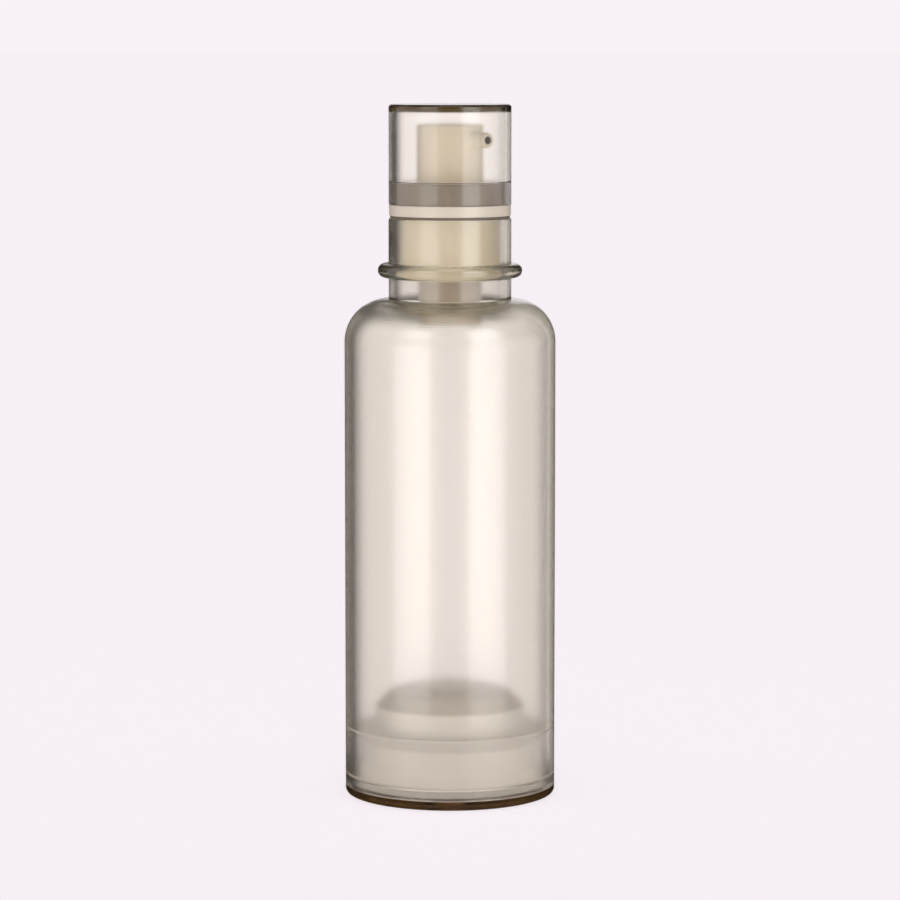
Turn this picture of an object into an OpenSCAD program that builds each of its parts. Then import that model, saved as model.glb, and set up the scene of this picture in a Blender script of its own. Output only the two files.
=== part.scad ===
// Airless pump bottle with a snap-in pump, a follower piston and a clear over-cap.
// Millimetres. The origin is the centre of the foot, +Z is up and the nozzle points to -Y.

/* [Bottle] */
// Outer diameter of the bottle
bottle_d = 42; // [40:0.5:50]
// Height of the bottle from its lower rim to the flat of the shoulder
bottle_h = 97.5; // [85:0.5:130]
// Wall thickness of the bottle
bottle_wall = 2.2; // [1.4:0.1:2.8]
// Radius of the shoulder's outer curve
shoulder_round = 8.6; // [6:0.2:9.4]
// Outer diameter of the neck, which the cap and the closure's flange line up with
neck_d = 24.4; // [23.6:0.2:26]
// Height of the neck above the shoulder
neck_h = 16; // [14:0.5:20]
// Wall thickness of the neck
neck_wall = 1.9; // [1.6:0.1:2.2]
// Height of the support ring's underside above the shoulder
bead_lift = 4.2; // [3.4:0.1:5]
// Height of the support ring, which is fully rounded at its rim
bead_h = 2.8; // [2:0.1:3.2]
// How far the support ring stands out from the neck
bead_out = 2.15; // [1.7:0.05:3]

/* [Base plug] */
// Thickness of the base plug's flange, which closes the bottle from below
plug_flange_h = 2; // [1.6:0.1:4]
// Height of the plug's spigot inside the bottle
plug_spigot_h = 1.9; // [1.4:0.1:4]
// Wall thickness of the plug's spigot
plug_spigot_wall = 1.4; // [1:0.1:2]
// Radius of the rounded outer edge of the foot
foot_round = 1.1; // [0.4:0.1:1.4]
// Radial width of the ring that the bottle stands on
foot_ring_w = 3; // [2:0.1:5]
// Depth of the recess inside the foot ring
foot_recess = 0.7; // [0.3:0.1:1]
// Diameter of the vent hole that lets air in under the follower
vent_d = 6.4; // [6:0.2:9]

/* [Follower piston] */
// Height of the follower from its lower lip to the top of its crown
follower_h = 17.1; // [15:0.1:22]
// Height from the follower's lower lip to the top edge of its upper lip
follower_skirt_h = 9.9; // [8:0.1:11]
// Wall thickness of the follower
follower_wall = 1.2; // [0.9:0.1:1.5]
// Outer diameter of the crown
crown_d = 29.6; // [24:0.2:30]
// Radius of the crown's rounded rim
crown_round = 3; // [1.5:0.1:4]
// Radius of the hollow curve from the crown out to the upper lip
crown_flare = 2.6; // [1:0.1:2.8]
// Depth of the recess in the crown that takes the end of the pump
recess_depth = 2.2; // [1:0.1:3]
// Thickness of a sealing lip's edge
lip_edge = 0.5; // [0.3:0.05:0.8]
// Height over which a sealing lip flares out
lip_flare_h = 2.7; // [1.4:0.1:3]

/* [Closure] */
// Thickness of the gasket on the neck's rim
gasket_h = 0.5; // [0.3:0.1:1]
// Thickness of the closure's visible flange
flange_h = 2.2; // [1.6:0.1:4]
// Height of the spigot that carries the cap, above the flange
spigot_h = 4.3; // [3.4:0.1:7]
// Thickness of the deck round the actuator
deck_t = 1.2; // [0.8:0.1:1.6]
// Wall thickness of the closure's skirt inside the neck
skirt_wall = 1.1; // [0.9:0.05:1.3]
// Length of the skirt below the middle of its snap bead
skirt_tail = 1.7; // [1.2:0.1:2.5]
// Depth of the well that guides the actuator, below the flange's underside
well_depth = 4; // [3.4:0.1:4.6]
// Wall thickness of the well
well_wall = 0.9; // [0.7:0.05:1]

/* [Cap] */
// Wall thickness of the cap
cap_wall = 1.6; // [1.3:0.05:1.8]
// Thickness of the cap's top
cap_top_t = 1.3; // [1:0.1:3]
// Wall left at the cap's lip, outside the grip ring
cap_lip = 0.55; // [0.4:0.05:0.7]
// Free height between the actuator and the cap's top
cap_headroom = 2.7; // [1:0.1:6]
// Radius of the cap's rounded top edge
cap_round = 0.7; // [0.3:0.1:1]

/* [Actuator] */
// Outer diameter of the actuator
actuator_d = 13.2; // [12.4:0.1:13.6]
// Height of the actuator's top above the deck
actuator_rise = 11.5; // [11:0.1:15]
// Wall thickness of the actuator
actuator_wall = 1; // [0.8:0.1:1.4]
// Thickness of the actuator's top before it is dished
actuator_top_t = 1.2; // [1:0.1:1.6]
// Depth of the finger dish in the actuator's top
dish_depth = 0.35; // [0.1:0.05:0.5]
// Length of the actuator inside the well at rest
actuator_tail = 2.5; // [1.5:0.1:3.5]
// Distance from the actuator's top down to the nozzle's axis
nozzle_drop = 3; // [2.8:0.1:3.6]
// Outer diameter of the nozzle at its tip
nozzle_d = 3; // [2.6:0.1:3.4]
// Diameter of the nozzle's orifice
orifice_d = 1.5; // [0.8:0.1:1.7]
// Radius of the hollow curve where the nozzle leaves the actuator
nozzle_flare = 1.3; // [0.6:0.1:1.4]
// Gap between the nozzle's tip and the cap's wall
nozzle_gap = 0.65; // [0.4:0.05:1]

/* [Pump] */
// Travel of the pump
stroke = 4.5; // [3:0.1:4.8]
// Bore of the pump chamber
chamber_bore_d = 10; // [9:0.1:10.4]
// Wall thickness of the pump chamber
chamber_wall = 1.3; // [0.9:0.1:1.4]
// Radius of the chamber's rounded lower edge
chamber_round = 1.2; // [0.5:0.1:2]
// Thickness of the chamber's flange
chamber_flange_h = 1.2; // [0.9:0.1:1.5]
// Diameter of the inlet port
port_d = 1.8; // [1.2:0.1:2]
// Length of the inlet port below the valve seat
port_len = 1.8; // [1.4:0.1:3]
// Diameter of the inlet ball
inlet_ball_d = 3; // [2.8:0.1:3.4]
// Lift of the inlet ball
inlet_lift = 0.8; // [0.5:0.1:1.2]
// Thickness of the stem guide's flange
guide_flange_h = 1; // [0.8:0.1:1.4]
// Depth of the stem guide's plug inside the chamber
guide_plug_h = 1.7; // [1.2:0.1:2.2]
// Height of the pump piston
piston_h = 3.4; // [3:0.1:4.5]
// Thickness of the foot that holds the piston on the stem
stem_foot_h = 1; // [0.8:0.1:1.5]
// Outer diameter of the stem
stem_d = 4; // [3.6:0.1:4.2]
// Bore of the stem
stem_bore_d = 2.2; // [1.8:0.1:2.4]
// Diameter of the outlet ball
outlet_ball_d = 2; // [1.8:0.1:2.1]
// Lift of the outlet ball
outlet_lift = 0.5; // [0.3:0.05:0.6]

/* [Return spring] */
// Length of the spring between its seats
spring_len = 12.5; // [11.5:0.1:13]
// Wire diameter of the spring
wire_d = 0.7; // [0.5:0.05:0.8]
// Number of turns of the spring
spring_turns = 7; // [5:0.5:8]

/* [Fits] */
// Radial gap between the plug's spigot and the bottle
plug_fit = 0.05; // [0.02:0.01:0.15]
// Radial gap between the follower's lips and the bottle
lip_fit = 0.1; // [0.05:0.01:0.2]
// Radial gap between the closure's skirt and the neck
skirt_fit = 0.2; // [0.1:0.05:0.3]
// Radial gap between the grip ring and the cap
cap_fit = 0.15; // [0.1:0.01:0.25]
// Radial gap between the actuator and the well
actuator_fit = 0.25; // [0.15:0.01:0.35]
// Radial gap of parts that are pressed together
press_fit = 0.03; // [0.01:0.01:0.06]
// Radial running gap of the stem and of the pump piston
running_fit = 0.08; // [0.05:0.01:0.1]
// Gap left where a moving part meets its stop
stop_gap = 0.1; // [0.05:0.01:0.2]
// Radial gap between the spring's wire and the guide's collar
spring_collar_gap = 0.2; // [0.16:0.01:0.24]
// Gap between the stem's foot and the chamber's floor at full stroke
bottom_gap = 0.45; // [0.3:0.05:1]

/* [Hidden] */
$fn = 96;

// Cuts run this far past the faces they open
slack = 1;
// Small roundings of moulded edges and lips
edge_round = 0.3;
// Gap of parts that only rest on each other
rest_gap = 0.03;

// Bottle levels and radii
body_r = bottle_d / 2;
bore_r = body_r - bottle_wall;
body_z = plug_flange_h;
shoulder_z = body_z + bottle_h;
ceiling_z = shoulder_z - bottle_wall;
neck_r = neck_d / 2;
neck_bore_r = neck_r - neck_wall;
neck_top_z = shoulder_z + neck_h;
bead_z = shoulder_z + bead_lift;
snap_z = bead_z + bead_h / 2;
neck_foot_round = 0.4;
snap_out = 0.4;
snap_h = 1;
groove_clear = 0.15;

// Base plug and follower
plug_spigot_r = bore_r - plug_fit;
plug_top_z = body_z + plug_spigot_h;
follower_z = plug_top_z;
follower_top_z = follower_z + follower_h;
lip_top_z = follower_z + follower_skirt_h;
lip_r = bore_r - lip_fit;
follower_skirt_r = lip_r - follower_wall;
crown_r = crown_d / 2;
pump_recess_clear = 0.9;

// Closure, cap and grip ring
closure_z = neck_top_z + gasket_h;
flange_top_z = closure_z + flange_h;
deck_z = flange_top_z + spigot_h;
flange_inset = 0.1;
flange_r = neck_r - flange_inset;
skirt_r = neck_bore_r - skirt_fit;
skirt_bore_r = skirt_r - skirt_wall;
skirt_z = snap_z - skirt_tail;
actuator_r = actuator_d / 2;
well_r = actuator_r + actuator_fit;
well_out_r = well_r + well_wall;
well_z = closure_z - well_depth;
cap_r = neck_r;
cap_bore_r = cap_r - cap_wall;
spigot_r = cap_bore_r - press_fit;
ring_in_r = spigot_r + press_fit;
lip_bore_r = cap_r - cap_lip;
ring_r = lip_bore_r - cap_fit;
cap_step_gap = 0.2;

// Actuator
actuator_top_z = deck_z + actuator_rise;
actuator_z = deck_z - actuator_tail;
cap_ceiling_z = actuator_top_z + cap_headroom;
cap_top_z = cap_ceiling_z + cap_top_t;
nozzle_z = actuator_top_z - nozzle_drop;
nozzle_r = nozzle_d / 2;
nozzle_tip = cap_bore_r - nozzle_gap;
stem_r = stem_d / 2;
boss_wall = 1.6;
boss_r = stem_r + boss_wall;

// Pump engine, stacked down from the well
hub_wall = 1.2;
hub_r = stem_r + hub_wall;
stem_collar_h = 0.8;
stem_collar_out = 0.9;
guide_top_z = well_z;
chamber_top_z = guide_top_z - guide_flange_h;
chamber_flange_z = chamber_top_z - chamber_flange_h;
guide_plug_z = chamber_top_z - guide_plug_h;
piston_top_z = guide_plug_z - stop_gap;
piston_z = piston_top_z - piston_h;
stem_foot_z = piston_z - stem_foot_h;
floor_z = stem_foot_z - stroke - bottom_gap;
chamber_bore_r = chamber_bore_d / 2;
chamber_r = chamber_bore_r + chamber_wall;
chamber_flange_r = skirt_bore_r - stop_gap;
snap_in = 0.35;
boss_z = guide_top_z + spring_len;

// Inlet valve: a 45 degree seat, a pocket for the ball and nubs that keep it in
port_r = port_d / 2;
inlet_ball_r = inlet_ball_d / 2;
pocket_clear = 0.25;
pocket_r = inlet_ball_r + pocket_clear;
nub_in = 0.15;
nub_r = inlet_ball_r - nub_in;
nub_h = 0.5;
nub_rise = sqrt(inlet_ball_r * inlet_ball_r - nub_r * nub_r);
inlet_rest = inlet_ball_r * sqrt(2) - port_r + rest_gap;
seat_z = floor_z - nub_h - nub_rise - rest_gap - inlet_lift - inlet_rest;
chamber_z = seat_z - port_len;
inlet_ball_z = seat_z + inlet_rest;

// Outlet valve on the stem's top, under a stop pin in the actuator
stem_bore_r = stem_bore_d / 2;
outlet_ball_r = outlet_ball_d / 2;
outlet_port_r = 0.6;
outlet_seat_h = stem_bore_r - outlet_port_r;
outlet_clear = 0.35;
stem_drop = 2;
stem_top_z = nozzle_z - stem_drop;
outlet_ball_z = stem_top_z - outlet_seat_h + outlet_ball_r * sqrt(2) - outlet_port_r + rest_gap;
outlet_pocket_r = outlet_ball_r + outlet_clear;
orifice_r = orifice_d / 2;
outlet_ceiling_z = nozzle_z + orifice_r;
outlet_stop_z = outlet_ball_z + outlet_ball_r + outlet_lift + rest_gap;
stop_pin_r = 0.35;

// Spring
spring_in_gap = 0.8;
spring_r = stem_r + spring_in_gap + wire_d / 2;
wire_sides = 6;
rings_per_turn = 12;
end_pitch = wire_d + 0.45;

// Finishes
clear_smoke = [0.80, 0.76, 0.69, 0.45];
cream = "#ddd0bc";
taupe = "#8d8171";
natural_white = "#e6e1d6";
steel = "#b9bcc0";
seal_grey = "#6f675b";

// What a rounded corner takes off a section whose corner is at the origin and which lies in +x and +y.
// The same shape with no margin fills a hollow corner.
module corner_piece(radius, margin = 0) {
    difference() {
        translate([-margin, -margin])
            square(radius + margin);
        translate([radius, radius])
            circle(r = radius);
    }
}

// Block of a revolved section from radius r_in to r_out and from z_low to z_top.
// rounds lists the corner radii: lower inner, lower outer, upper outer, upper inner.
module section(r_in, r_out, z_low, z_top, rounds = [0, 0, 0, 0]) {
    corners = [[r_in, z_low], [r_out, z_low], [r_out, z_top], [r_in, z_top]];
    difference() {
        translate([r_in, z_low])
            square([r_out - r_in, z_top - z_low]);
        for (i = [0:3])
            if (rounds[i] > 0)
                translate(corners[i])
                    rotate(90 * i)
                        corner_piece(rounds[i], slack);
    }
}

// Section of a bore: it runs past the axis, so that nothing is left there.
module bore_section(r, z_low, z_top, rounds = [0, 0, 0, 0]) {
    section(-slack, r, z_low, z_top, rounds);
}

// Ring with a half-round rim, standing out from radius r to r + out.
module rim_section(r, out, z_low, height) {
    section(r - edge_round, r + out - height / 2, z_low, z_low + height);
    translate([r + out - height / 2, z_low + height / 2])
        circle(r = height / 2);
}

// Blow-moulded bottle: straight body, round shoulder, neck with its support ring and snap groove
module bottle() {
    color(clear_smoke)
        rotate_extrude()
            difference() {
                union() {
                    section(0, body_r, body_z, shoulder_z, [0, 0, shoulder_round, 0]);
                    section(0, neck_r, shoulder_z, neck_top_z, [0, neck_foot_round, edge_round, 0]);
                    rim_section(neck_r, bead_out, bead_z, bead_h);
                }
                bore_section(bore_r, body_z - slack, ceiling_z, [0, 0, shoulder_round - bottle_wall, 0]);
                bore_section(neck_bore_r, ceiling_z - slack, neck_top_z + slack);
                bore_section(neck_bore_r + snap_out - skirt_fit + groove_clear,
                             snap_z - snap_h / 2 - groove_clear, snap_z + snap_h / 2 + groove_clear);
            }
}

// Plug that closes the bottle from below, with a foot ring, a spigot and a vent
module base_plug() {
    color(clear_smoke)
        rotate_extrude()
            difference() {
                union() {
                    section(0, body_r, 0, body_z, [0, foot_round, 0, 0]);
                    section(0, plug_spigot_r, body_z, plug_top_z, [0, 0, edge_round, 0]);
                }
                bore_section(body_r - foot_round - foot_ring_w, -slack, foot_recess, [0, 0, edge_round, 0]);
                bore_section(plug_spigot_r - plug_spigot_wall, body_z, plug_top_z + slack);
                bore_section(vent_d / 2, -slack, body_z + slack);
            }
}

// Sealing lip in section: it flares from the skirt at z_root to its full radius at z_edge
module lip_section(z_root, z_edge) {
    upward = z_edge > z_root;
    outline = [[follower_skirt_r - follower_wall, z_root],
               [follower_skirt_r, z_root],
               [lip_r, z_edge + (upward ? -lip_edge : lip_edge)],
               [lip_r, z_edge],
               [follower_skirt_r - follower_wall / 2, z_edge]];
    polygon(upward ? outline : [for (i = [4:-1:0]) outline[i]]);
}

// Follower that rises as the bottle empties: crown, hollow skirt and two lips
module follower_piston() {
    web_z = lip_top_z - follower_wall;
    recess_r = chamber_r + pump_recess_clear;
    recess_z = follower_top_z - recess_depth;
    color(natural_white)
        rotate_extrude()
            difference() {
                union() {
                    difference() {
                        union() {
                            section(0, crown_r, web_z, follower_top_z, [0, 0, crown_round, 0]);
                            section(0, follower_skirt_r, follower_z + lip_edge, lip_top_z);
                            translate([crown_r, lip_top_z])
                                corner_piece(crown_flare);
                            lip_section(lip_top_z - lip_flare_h, lip_top_z);
                            lip_section(follower_z + lip_flare_h, follower_z);
                        }
                        bore_section(crown_r - follower_wall, web_z - slack, follower_top_z - follower_wall,
                                     [0, 0, crown_round - follower_wall, 0]);
                        bore_section(follower_skirt_r - follower_wall, follower_z - slack, web_z);
                    }
                    section(0, recess_r + follower_wall, recess_z - follower_wall,
                            follower_top_z - follower_wall / 2, [0, edge_round, 0, 0]);
                }
                bore_section(recess_r, recess_z, follower_top_z + slack, [0, edge_round, 0, 0]);
            }
}

// Flat gasket between the neck's rim and the closure's flange
module neck_gasket() {
    color(seal_grey)
        rotate_extrude()
            section(skirt_r + press_fit, neck_r - edge_round, neck_top_z, closure_z);
}

// Closure: skirt and snap bead in the neck, flange, cap spigot, deck and the actuator's well
module closure() {
    color(cream)
        rotate_extrude() {
            difference() {
                union() {
                    section(0, skirt_r, skirt_z, closure_z, [0, edge_round, 0, 0]);
                    section(0, flange_r, closure_z, flange_top_z, [0, edge_round / 2, 0, 0]);
                    section(0, spigot_r, flange_top_z, deck_z, [0, 0, edge_round, 0]);
                    rim_section(skirt_r, snap_out, snap_z - snap_h / 2, snap_h);
                }
                bore_section(skirt_bore_r, skirt_z - slack, deck_z - deck_t);
                bore_section(well_r, deck_z - deck_t - slack, deck_z + slack);
            }
            section(well_r, well_out_r, well_z, deck_z, [0, 0, 0, edge_round]);
            translate([skirt_bore_r, chamber_flange_z - stop_gap - snap_in])
                intersection() {
                    circle(r = snap_in);
                    section(-snap_in - slack, snap_in, -snap_in, snap_in);
                }
        }
}

// Soft ring round the spigot, which grips the cap's lip
module cap_grip_ring() {
    color(taupe)
        rotate_extrude()
            section(ring_in_r, ring_r, flange_top_z, deck_z, [0, edge_round / 2, edge_round, 0]);
}

// Over-cap: it stands on the flange and its counterbored lip clears the grip ring
module cap() {
    color(clear_smoke)
        rotate_extrude()
            difference() {
                section(0, cap_r, flange_top_z, cap_top_z, [0, edge_round / 2, cap_round, 0]);
                bore_section(cap_bore_r, flange_top_z - slack, cap_ceiling_z, [0, 0, edge_round, 0]);
                bore_section(lip_bore_r, flange_top_z - slack, deck_z + cap_step_gap);
            }
}

// Pump chamber with its flange, inlet port, 45 degree seat and the ball's pocket.
// Its thick end is cored out from below, between ribs.
module pump_chamber() {
    cone_h = pocket_r - port_r;
    port_wall = 1.2;
    rib_t = 0.8;
    ribs = 4;
    color(natural_white)
        difference() {
            rotate_extrude()
                difference() {
                    union() {
                        section(0, chamber_r, chamber_z, chamber_top_z, [0, chamber_round, 0, 0]);
                        section(0, chamber_flange_r, chamber_flange_z, chamber_top_z,
                                [0, edge_round, edge_round, 0]);
                    }
                    bore_section(chamber_bore_r, floor_z, chamber_top_z + slack, [0, edge_round, 0, 0]);
                    bore_section(nub_r, floor_z - slack, floor_z + slack);
                    bore_section(pocket_r, seat_z + cone_h, floor_z - nub_h);
                    bore_section(port_r, chamber_z - slack, seat_z + slack);
                    polygon([[0, seat_z],
                             [port_r, seat_z],
                             [pocket_r, seat_z + cone_h],
                             [0, seat_z + cone_h]]);
                }
            difference() {
                rotate_extrude()
                    section(pocket_r + port_wall, chamber_bore_r, chamber_z - slack, floor_z - chamber_wall,
                            [0, 0, edge_round, edge_round]);
                for (i = [0:ribs - 1])
                    rotate(45 + 360 * i / ribs)
                        translate([0, -rib_t / 2, chamber_z - 2 * slack])
                            cube([chamber_r, rib_t, floor_z - chamber_z + slack]);
            }
            // Two crossing slots leave four nubs round the pocket's mouth
            for (turn = [0, 90])
                rotate(turn)
                    translate([-pocket_r, -nub_r / 2, floor_z - nub_h - slack / 2])
                        cube([2 * pocket_r, nub_r, nub_h + slack]);
        }
}

// Ball of the inlet valve
module inlet_ball() {
    color(steel)
        translate([0, 0, inlet_ball_z])
            sphere(r = inlet_ball_r);
}

// Guide that closes the chamber, centres the stem and carries the spring
module stem_guide() {
    spring_collar_h = 0.8;
    guide_wall = 1;
    color(natural_white)
        rotate_extrude()
            difference() {
                union() {
                    section(0, chamber_bore_r - press_fit, guide_plug_z, chamber_top_z, [0, edge_round, 0, 0]);
                    section(0, well_out_r, chamber_top_z, guide_top_z);
                    section(0, spring_r - wire_d / 2 - spring_collar_gap, guide_top_z,
                            guide_top_z + spring_collar_h, [0, 0, edge_round / 2, 0]);
                }
                bore_section(stem_r + running_fit, guide_plug_z - slack, guide_top_z + spring_collar_h + slack);
                section(stem_r + guide_wall, chamber_bore_r - guide_wall, guide_plug_z - slack, chamber_top_z,
                        [0, 0, edge_round, edge_round]);
            }
}

// Pump piston: a hub on the stem, a web and a skirt with a lip at each end
module pump_piston() {
    skirt_t = 0.7;
    seal_out = 0.25;
    seal_r = chamber_bore_r - running_fit;
    waist_r = seal_r - seal_out;
    lip_h = 0.6;
    web_t = 1;
    web_z = piston_z + (piston_h - web_t) / 2;
    color(natural_white)
        rotate_extrude() {
            section(stem_r + press_fit, hub_r, piston_z, piston_top_z - stem_collar_h);
            section(stem_r + press_fit, waist_r, web_z, web_z + web_t);
            section(waist_r - skirt_t, waist_r, piston_z, piston_top_z);
            for (lip_z = [piston_z, piston_top_z - lip_h])
                section(waist_r - skirt_t, seal_r, lip_z, lip_z + lip_h, [0, edge_round, edge_round, 0]);
        }
}

// Foot pressed into the stem's end, holding the piston from below
module stem_foot() {
    spigot_len = 2;
    channel_r = 0.6;
    color(natural_white)
        rotate_extrude()
            difference() {
                union() {
                    section(0, hub_r, stem_foot_z, piston_z, [0, edge_round, 0, 0]);
                    section(0, stem_bore_r - press_fit, piston_z, piston_z + spigot_len, [0, 0, edge_round / 2, 0]);
                }
                bore_section(channel_r, stem_foot_z - slack, piston_z + spigot_len + slack);
            }
}

// Hollow stem from the piston to the actuator, with the outlet valve's seat on its top
module stem() {
    seat_z = stem_top_z - outlet_seat_h;
    neck_len = 0.8;
    color(natural_white)
        rotate_extrude()
            difference() {
                union() {
                    section(0, stem_r, piston_z, stem_top_z);
                    section(0, stem_r + stem_collar_out, piston_top_z - stem_collar_h, piston_top_z,
                            [0, 0, edge_round / 2, 0]);
                }
                bore_section(stem_bore_r, piston_z - slack, seat_z - neck_len);
                bore_section(outlet_port_r, piston_z, stem_top_z);
                polygon([[0, seat_z],
                         [outlet_port_r, seat_z],
                         [stem_bore_r, stem_top_z],
                         [stem_bore_r, stem_top_z + slack],
                         [0, stem_top_z + slack]]);
            }
}

// Height along the spring after a number of turns: close pitch on the end turns, even pitch between
function spring_rise(turns, height) =
    let (middle_pitch = (height - 2 * end_pitch) / (spring_turns - 2))
    turns <= 1 ? end_pitch * turns
    : turns >= spring_turns - 1 ? height - end_pitch * (spring_turns - turns)
    : end_pitch + middle_pitch * (turns - 1);

// Return spring, as one wire swept along its helix
module return_spring() {
    height = spring_len - wire_d - 2 * rest_gap;
    wire_r = wire_d / 2;
    rings = round(spring_turns * rings_per_turn);
    points = [for (i = [0:rings], k = [0:wire_sides - 1])
        let (turns = i / rings_per_turn,
             side = 360 * k / wire_sides,
             r = spring_r + wire_r * cos(side))
        [r * cos(360 * turns), r * sin(360 * turns),
         guide_top_z + rest_gap + wire_r + spring_rise(turns, height) + wire_r * sin(side)]];
    walls = [for (i = [0:rings - 1], k = [0:wire_sides - 1])
        let (a = i * wire_sides + k,
             b = i * wire_sides + (k + 1) % wire_sides,
             c = b + wire_sides,
             d = a + wire_sides)
        each [[a, b, c], [a, c, d]]];
    first_end = [for (k = [1:wire_sides - 2]) [0, k + 1, k]];
    last = rings * wire_sides;
    last_end = [for (k = [1:wire_sides - 2]) [last, last + k, last + k + 1]];
    color(steel)
        polyhedron(points = points, faces = concat(walls, first_end, last_end));
}

// Ball of the outlet valve
module outlet_ball() {
    color(steel)
        translate([0, 0, outlet_ball_z])
            sphere(r = outlet_ball_r);
}

// Lays a revolved shape with its axis along -Y at the nozzle's height
module along_nozzle() {
    translate([0, 0, nozzle_z])
        rotate([90, 0, 0])
            children();
}

// Actuator: dished cap-shaped shell, stem boss, duct and nozzle
module actuator() {
    dish_r = actuator_r - actuator_wall;
    dish_sphere_r = (dish_r * dish_r + dish_depth * dish_depth) / (2 * dish_depth);
    flare_start = sqrt(actuator_r * actuator_r - (nozzle_r + nozzle_flare) * (nozzle_r + nozzle_flare));
    shell_ceiling_z = actuator_top_z - actuator_top_t;
    color(cream)
        difference() {
            union() {
                rotate_extrude()
                    difference() {
                        section(0, actuator_r, actuator_z, actuator_top_z, [0, edge_round, edge_round, 0]);
                        bore_section(actuator_r - actuator_wall, actuator_z - slack, shell_ceiling_z,
                                     [0, 0, edge_round, 0]);
                    }
                translate([0, 0, boss_z])
                    cylinder(r = boss_r, h = actuator_top_z - actuator_top_t / 2 - boss_z);
                translate([-nozzle_r, -actuator_r + actuator_wall / 2, nozzle_z])
                    cube([nozzle_d, actuator_r - actuator_wall / 2, shell_ceiling_z - nozzle_z + slack / 2]);
                along_nozzle()
                    cylinder(r = nozzle_r, h = actuator_r - actuator_wall / 2);
                along_nozzle()
                    rotate_extrude() {
                        section(0, nozzle_r, flare_start, nozzle_tip, [0, 0, edge_round, 0]);
                        translate([nozzle_r, flare_start])
                            corner_piece(nozzle_flare);
                    }
            }
            translate([0, 0, actuator_top_z - dish_depth + dish_sphere_r])
                sphere(r = dish_sphere_r, $fn = 4 * $fn);
            translate([0, 0, boss_z - slack])
                cylinder(r = stem_r + press_fit, h = stem_top_z + press_fit - boss_z + slack);
            difference() {
                translate([0, 0, stem_top_z])
                    cylinder(r = outlet_pocket_r, h = outlet_ceiling_z - stem_top_z);
                translate([0, 0, outlet_stop_z])
                    cylinder(r = stop_pin_r, h = outlet_ceiling_z - outlet_stop_z + slack);
            }
            along_nozzle()
                translate([0, 0, outlet_pocket_r / 2])
                    cylinder(r = orifice_r, h = nozzle_tip);
        }
}

bottle();
base_plug();
follower_piston();
neck_gasket();
closure();
cap_grip_ring();
cap();
pump_chamber();
inlet_ball();
stem_guide();
pump_piston();
stem_foot();
stem();
return_spring();
outlet_ball();
actuator();
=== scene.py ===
import math

import bmesh
import bpy
from mathutils import Matrix, Vector


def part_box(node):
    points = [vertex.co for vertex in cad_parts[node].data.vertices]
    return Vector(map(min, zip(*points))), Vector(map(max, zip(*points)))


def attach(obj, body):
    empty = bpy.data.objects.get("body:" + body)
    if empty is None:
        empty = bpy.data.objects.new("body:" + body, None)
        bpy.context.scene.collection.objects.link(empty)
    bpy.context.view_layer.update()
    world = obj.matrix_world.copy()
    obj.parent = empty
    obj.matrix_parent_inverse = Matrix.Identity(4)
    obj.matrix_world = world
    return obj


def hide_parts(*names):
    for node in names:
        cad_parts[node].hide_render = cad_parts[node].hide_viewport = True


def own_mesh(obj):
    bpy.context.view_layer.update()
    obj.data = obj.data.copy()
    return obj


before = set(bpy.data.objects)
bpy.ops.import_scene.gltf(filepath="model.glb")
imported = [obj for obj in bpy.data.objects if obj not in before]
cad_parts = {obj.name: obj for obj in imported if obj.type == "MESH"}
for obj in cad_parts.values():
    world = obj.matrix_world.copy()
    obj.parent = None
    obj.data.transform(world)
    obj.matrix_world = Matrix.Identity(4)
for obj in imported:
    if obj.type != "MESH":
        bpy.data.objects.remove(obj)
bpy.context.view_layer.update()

MM = 0.001


# Bottle
# Blown in one piece from smoke-tinted PETG with a satin skin: one wall runs from the foot round the
# shoulder into the neck, which carries a rounded support ring outside and a snap groove inside.
TURN_STEPS = 240
ROUND_SEGMENTS = 5
SEGMENTS_PER_MM = 2.5
HOLDING_EDGE = 0.08
WELD = 1e-7
SHARP_ANGLE = math.radians(32)


def finish_piece(name, bm, body, nodes, material):
    """Makes a named piece of a bmesh: its shading, material, body and replaced nodes."""
    for face in bm.faces:
        face.smooth = True
    for edge in bm.edges:
        edge.smooth = edge.is_boundary or edge.calc_face_angle(0) < SHARP_ANGLE
    mesh = bpy.data.meshes.new(name)
    bm.to_mesh(mesh)
    bm.free()
    mesh.materials.append(material)
    piece = bpy.data.objects.new(name, mesh)
    bpy.context.scene.collection.objects.link(piece)
    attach(piece, body)
    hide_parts(*nodes)
    return piece


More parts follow.
